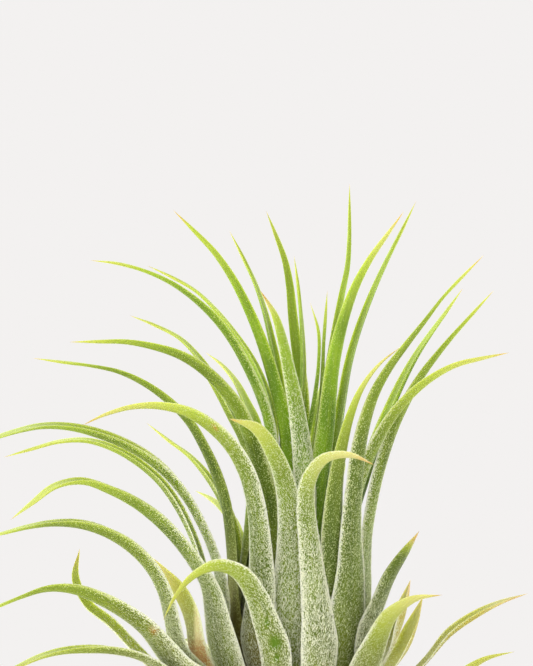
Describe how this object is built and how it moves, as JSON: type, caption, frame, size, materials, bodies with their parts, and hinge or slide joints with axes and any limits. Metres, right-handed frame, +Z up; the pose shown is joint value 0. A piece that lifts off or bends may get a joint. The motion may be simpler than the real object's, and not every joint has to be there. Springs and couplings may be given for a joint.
{
  "type": "air plant",
  "caption": "Air plant: an upright rosette of stiff, channelled, tapering leaves curving outwards from a bulb-like base, covered in fine silvery hairs.",
  "frame": {"origin": "middle of the stem's flat foot, on the surface that the plant stands on", "axes": "+Z up along the plant's height; -Y is the front, the side seen in the picture; +X is to the right seen from the front"},
  "size_m": [0.112, 0.089, 0.1175],
  "materials": {
    "stem": "matte",
    "heart_leaf": "satin",
    "leaf": "satin",
    "old_leaf": "matte",
    "leaf_hair": "matte"
  },
  "bodies": {
    "root": {"stem": "stem", "leaf_01": "heart_leaf", "leaf_02": "heart_leaf", "leaf_03": "heart_leaf", "leaf_04": "heart_leaf", "leaf_05": "heart_leaf", "leaf_06": "heart_leaf", "leaf_07": "heart_leaf", "leaf_08": "heart_leaf", "leaf_09": "heart_leaf", "leaf_10": "heart_leaf", "leaf_11": "heart_leaf", "leaf_12": "heart_leaf", "leaf_13": "heart_leaf", "leaf_14": "heart_leaf", "leaf_15": "heart_leaf", "leaf_16": "leaf", "leaf_17": "leaf", "leaf_18": "leaf", "leaf_19": "leaf", "leaf_20": "leaf", "leaf_21": "leaf", "leaf_22": "leaf", "leaf_23": "leaf", "leaf_24": "leaf", "leaf_25": "leaf", "leaf_26": "leaf", "leaf_27": "leaf", "leaf_28": "leaf", "leaf_29": "leaf", "leaf_30": "leaf", "leaf_31": "leaf", "leaf_32": "leaf", "leaf_33": "leaf", "leaf_34": "leaf", "leaf_35": "leaf", "leaf_36": "leaf", "leaf_37": "leaf", "leaf_38": "leaf", "leaf_39": "leaf", "leaf_40": "leaf", "leaf_41": "old_leaf", "leaf_42": "old_leaf", "leaf_43": "old_leaf", "leaf_44": "old_leaf", "leaf_45": "old_leaf", "leaf_46": "old_leaf", "leaf_47": "old_leaf", "leaf_48": "old_leaf", "leaf_49": "old_leaf", "leaf_50": "old_leaf", "leaf_51": "old_leaf", "leaf_52": "old_leaf", "leaf_53": "old_leaf", "leaf_54": "old_leaf", "leaf_55": "old_leaf", "leaf_56": "old_leaf", "leaf_57": "old_leaf"}
  },
  "joints": []
}
